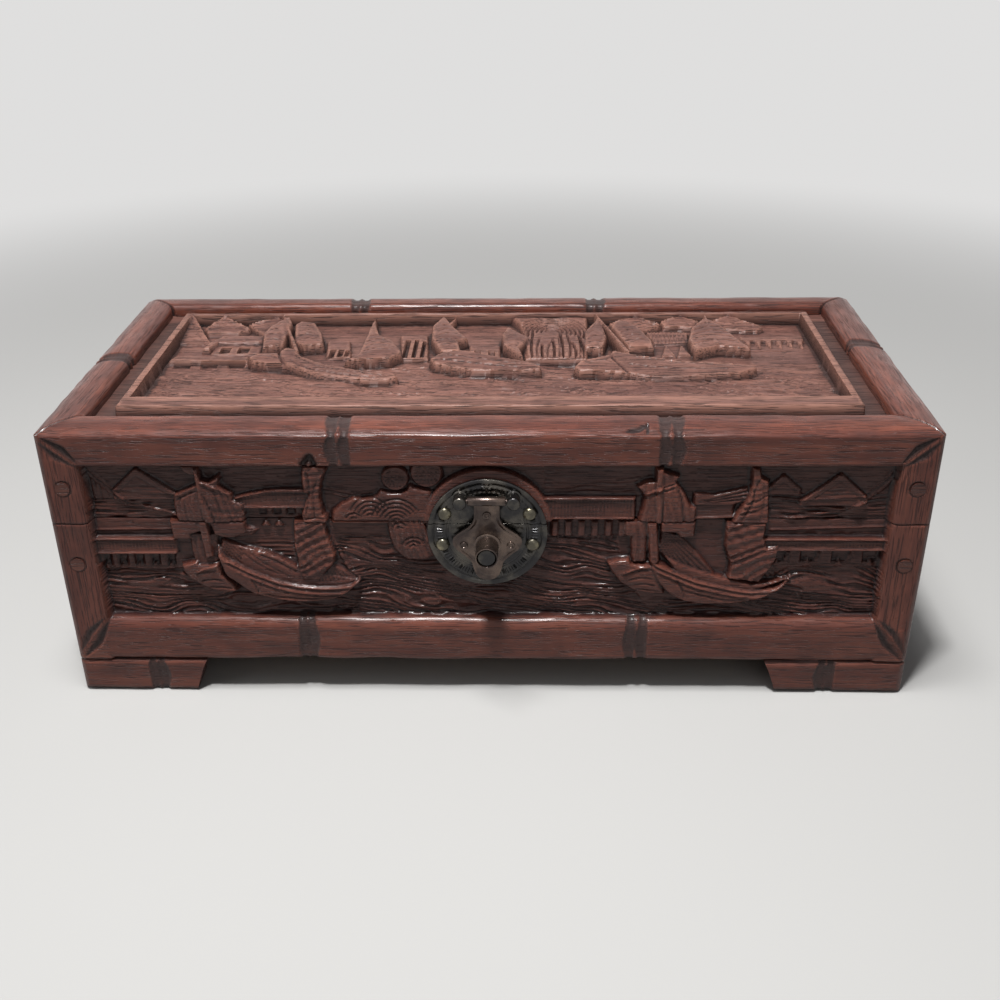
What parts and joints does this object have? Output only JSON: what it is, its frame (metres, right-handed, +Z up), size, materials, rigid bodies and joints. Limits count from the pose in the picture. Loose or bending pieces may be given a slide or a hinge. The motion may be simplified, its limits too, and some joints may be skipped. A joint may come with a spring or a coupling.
{
  "type": "carved wooden treasure box",
  "caption": "Carved hardwood box with bamboo-shaped rails, harbour scenes of junks in sunk panels, bracket feet, a hinged lid and a round brass lock plate with hasp.",
  "frame": {"origin": "centre of the bounding box on the plane of the foot soles", "axes": "+X to the right along the front, +Y from the front to the back, +Z up"},
  "size_m": [0.3, 0.1504, 0.1056],
  "materials": {
    "red_wood": "worn satin varnish",
    "peg_wood": "end grain",
    "pale_wood": "bare",
    "dark_brass": "darkened and worn",
    "hasp_brass": "worn bright at the edges",
    "spring_steel": "plain"
  },
  "bodies": {
    "base": {"back_left_foot_back": "red_wood", "back_left_foot_side": "red_wood", "back_right_foot_back": "red_wood", "back_right_foot_side": "red_wood", "base_back_left_peg": "peg_wood", "base_back_right_peg": "peg_wood", "base_back_wall": "red_wood", "base_front_left_peg": "peg_wood", "base_front_right_peg": "peg_wood", "base_front_wall": "red_wood", "base_left_wall": "red_wood", "base_right_wall": "red_wood", "bottom_board": "pale_wood", "front_left_foot_front": "red_wood", "front_left_foot_side": "red_wood", "front_right_foot_front": "red_wood", "front_right_foot_side": "red_wood", "left_hinge_base_leaf": "dark_brass", "left_hinge_base_nail_1": "dark_brass", "left_hinge_base_nail_2": "dark_brass", "left_hinge_pin": "dark_brass", "lock_catch": "spring_steel", "lower_left_plate_stud": "dark_brass", "lower_lock_plate": "dark_brass", "lower_right_plate_stud": "dark_brass", "right_hinge_base_leaf": "dark_brass", "right_hinge_base_nail_1": "dark_brass", "right_hinge_base_nail_2": "dark_brass", "right_hinge_pin": "dark_brass"},
    "lid": {"hasp_pin": "dark_brass", "left_hasp_post": "dark_brass", "left_hinge_lid_leaf": "dark_brass", "left_hinge_lid_nail_1": "dark_brass", "left_hinge_lid_nail_2": "dark_brass", "lid_back_left_peg": "peg_wood", "lid_back_right_peg": "peg_wood", "lid_back_wall": "red_wood", "lid_front_left_peg": "peg_wood", "lid_front_right_peg": "peg_wood", "lid_front_wall": "red_wood", "lid_left_wall": "red_wood", "lid_right_wall": "red_wood", "lid_top_panel": "red_wood", "right_hasp_post": "dark_brass", "right_hinge_lid_leaf": "dark_brass", "right_hinge_lid_nail_1": "dark_brass", "right_hinge_lid_nail_2": "dark_brass", "upper_left_plate_stud": "dark_brass", "upper_lock_plate": "dark_brass", "upper_right_plate_stud": "dark_brass"},
    "hasp": {"hasp_plate": "hasp_brass", "top_hasp_rivet": "hasp_brass", "left_hasp_rivet": "hasp_brass", "right_hasp_rivet": "hasp_brass", "lock_barrel": "hasp_brass", "plunger_spring": "spring_steel"},
    "plunger": {"lock_plunger": "dark_brass"}
  },
  "joints": [
    {"name": "lid_hinge", "type": "hinge", "parent": "base", "child": "lid", "pos_m": [0, 0.07275, 0.0698], "axis": [-1, 0, 0], "range_deg": [0, 100]},
    {"name": "hasp_hinge", "type": "hinge", "parent": "lid", "child": "hasp", "pos_m": [0, -0.06695, 0.0802], "axis": [-1, 0, 0], "range_deg": [0, 120]},
    {"name": "plunger_slide", "type": "slide", "parent": "hasp", "child": "plunger", "axis": [0, 1, 0], "range_m": [0, 0.0036], "stiffness_N_per_m": 300, "deforming": ["plunger_spring"]}
  ]
}
